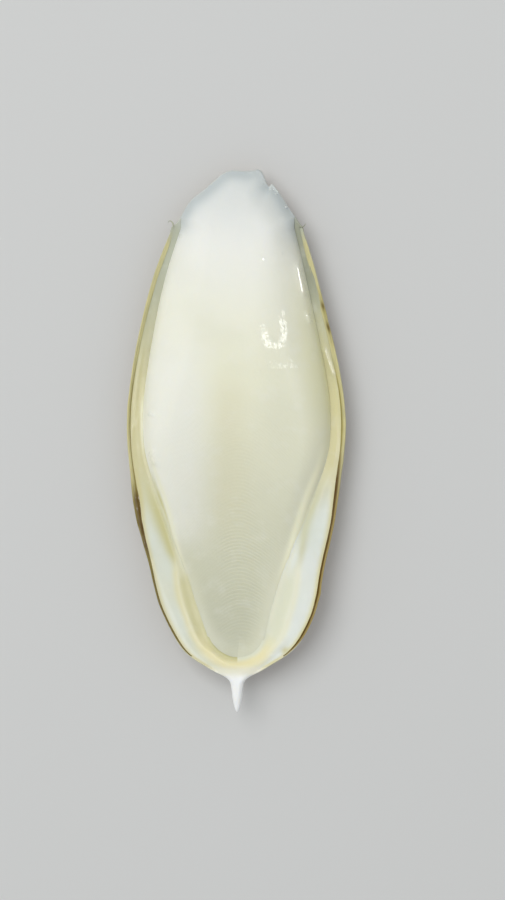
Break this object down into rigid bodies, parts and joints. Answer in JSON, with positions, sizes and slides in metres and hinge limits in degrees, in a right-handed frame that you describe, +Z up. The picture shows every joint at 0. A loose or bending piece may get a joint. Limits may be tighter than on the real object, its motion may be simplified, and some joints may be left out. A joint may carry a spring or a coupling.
{
  "type": "cuttlebone",
  "caption": "Oval chalky inner shell of a cuttlefish, lying on its domed back: ridged belly side up, thin horny rim on both sides, short pointed spine at the rear.",
  "frame": {"origin": "on the surface that the shell rests on, under the middle of its length and breadth", "axes": "+Y towards the blunt front end, -Y towards the spine, +Z up from the domed back that it rests on to the belly side"},
  "size_m": [0.0487, 0.1201, 0.0133],
  "materials": {
    "chalky_shell": "satin",
    "horny_rim": "gloss",
    "domed_back": "matte"
  },
  "bodies": {
    "root": {"cuttlebone": "chalky_shell"}
  },
  "joints": []
}
